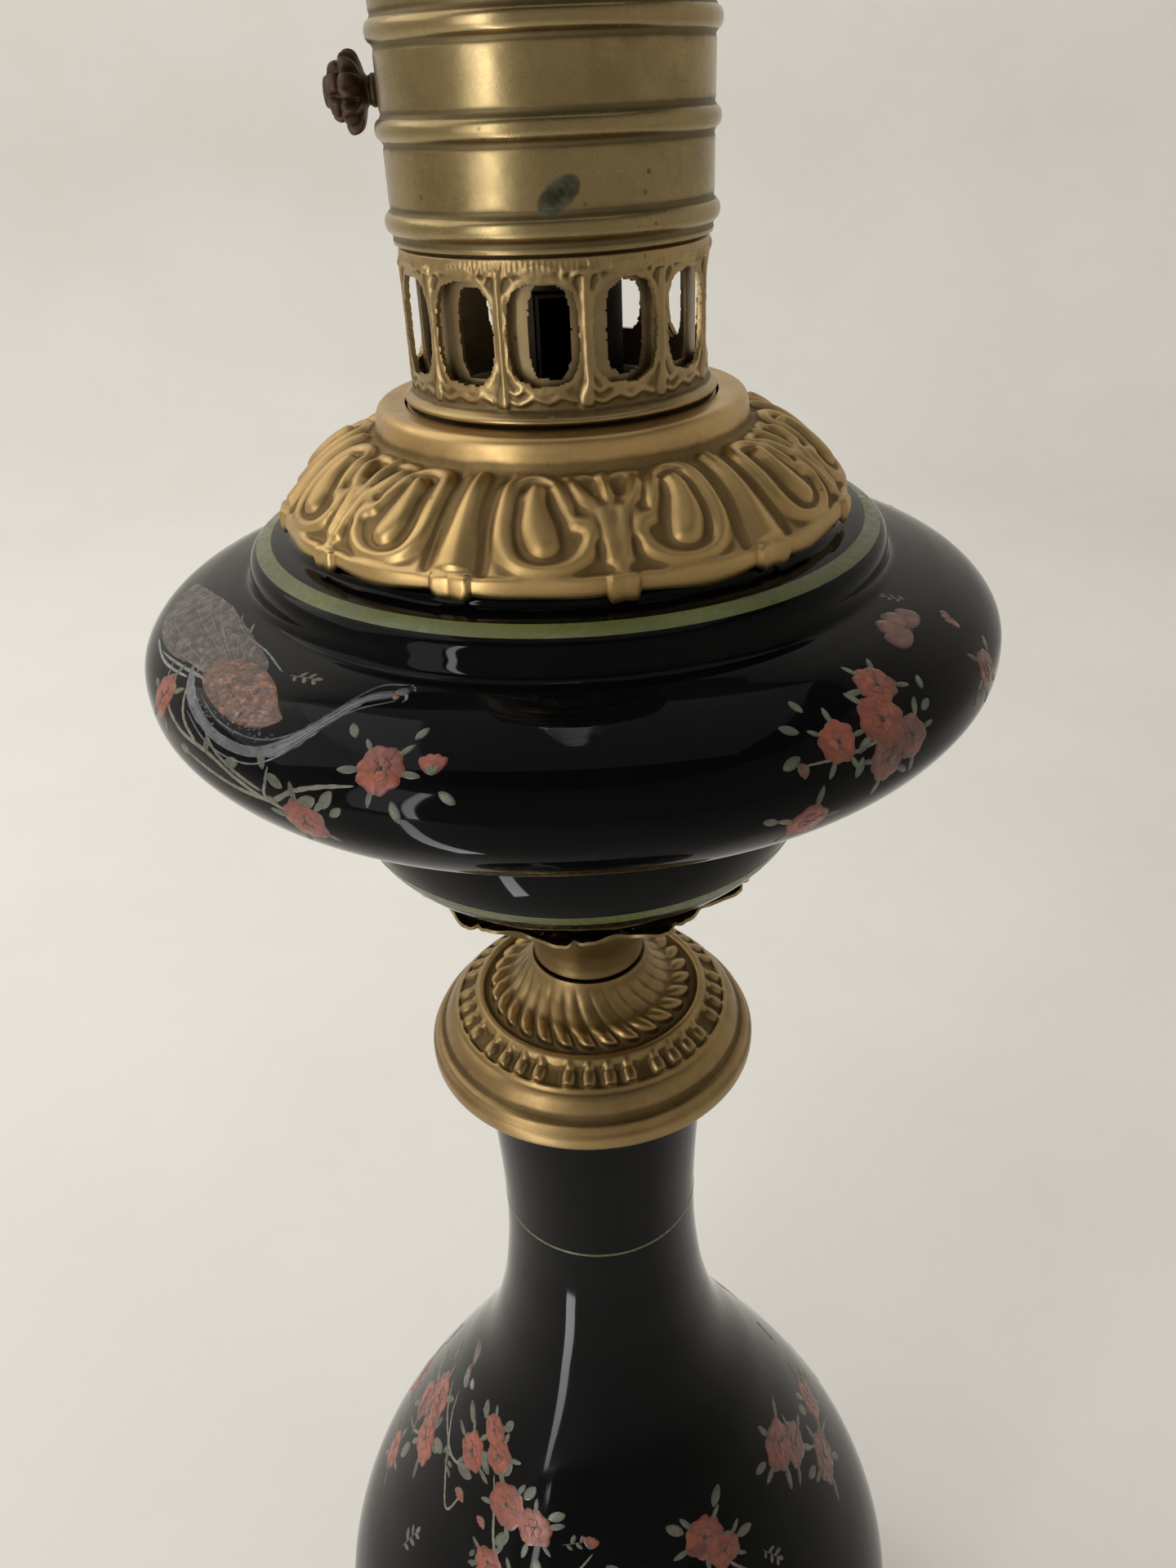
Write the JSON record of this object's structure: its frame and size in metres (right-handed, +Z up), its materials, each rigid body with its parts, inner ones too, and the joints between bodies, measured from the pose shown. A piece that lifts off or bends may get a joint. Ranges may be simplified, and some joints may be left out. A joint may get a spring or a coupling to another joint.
{
  "type": "oil lamp",
  "caption": "Tall table oil lamp: black glass vase and font with brass mounts, lift-out oil pot, round-wick burner with side key, and glass chimney.",
  "frame": {"origin": "centre of the foot, on the surface that the lamp stands on", "axes": "+Z up along the lamp's centre line, -Y to the front, wick key on the -X side"},
  "size_m": [0.2136, 0.2136, 0.918],
  "materials": {
    "aged_brass": "satin aged brass with dark patina in the hollows",
    "plain_brass": "satin brass",
    "dull_brass": "dull unpolished brass",
    "dark_bronze": "dark brown cast bronze, rubbed bright on its high points",
    "black_glass": "glossy opaque black glass with enamel flowers",
    "clear_glass": "clear polished glass",
    "steel": "dull steel",
    "cast_iron": "rough cast iron",
    "cork": "matt pressed cork",
    "cotton": "woven cotton wick, charred at the top"
  },
  "bodies": {
    "stand": {"base_foot": "aged_brass", "base_weight": "cast_iron", "base_washer": "steel", "base_nut": "steel", "tie_rod": "steel", "vase_cork_ring": "cork", "vase": "black_glass", "neck_cork_ring": "cork", "neck_plate": "steel", "neck_disc": "aged_brass", "spacer_tube": "dull_brass", "leaf_cup": "aged_brass", "font_seat": "dull_brass", "font_cork_ring": "cork", "font": "black_glass", "top_washer": "steel", "top_nut": "steel"},
    "reservoir": {"oil_pot": "dull_brass", "shoulder_cap": "aged_brass", "burner_collar": "plain_brass"},
    "burner": {"burner_base": "dull_brass", "gallery_ring": "aged_brass", "upper_sleeve": "aged_brass", "outer_wick_tube": "dull_brass", "inner_air_tube": "dull_brass", "wheel_box": "dull_brass", "spindle_bush": "dark_bronze", "chimney_crown": "plain_brass", "burner_basket": "dull_brass"},
    "wick_key": {"key_spindle": "steel", "key_knob": "dark_bronze", "wick_wheel_left": "steel", "wick_wheel_right": "steel"},
    "wick_body": {"wick": "cotton"},
    "chimney_body": {"chimney": "clear_glass"}
  },
  "joints": [
    {"name": "reservoir_lift", "type": "slide", "parent": "stand", "child": "reservoir", "axis": [0, 0, 1], "range_m": [0, 0.1]},
    {"name": "burner_lift", "type": "slide", "parent": "reservoir", "child": "burner", "axis": [0, 0, 1], "range_m": [0, 0.1]},
    {"name": "wick_key_turn", "type": "hinge", "parent": "burner", "child": "wick_key", "pos_m": [-0.04, 0.0176, 0.6545], "axis": [-1, 0, 0], "range_deg": [-90, 68]},
    {"name": "wick_slide", "type": "slide", "parent": "burner", "child": "wick_body", "axis": [0, 0, 1], "range_m": [-0.008, 0.006]},
    {"name": "chimney_lift", "type": "slide", "parent": "burner", "child": "chimney_body", "axis": [0, 0, 1], "range_m": [0, 0.08]}
  ],
  "couplings": [
    {"joint": "wick_slide", "follows": "wick_key_turn", "m_per_rad": 0.005}
  ]
}
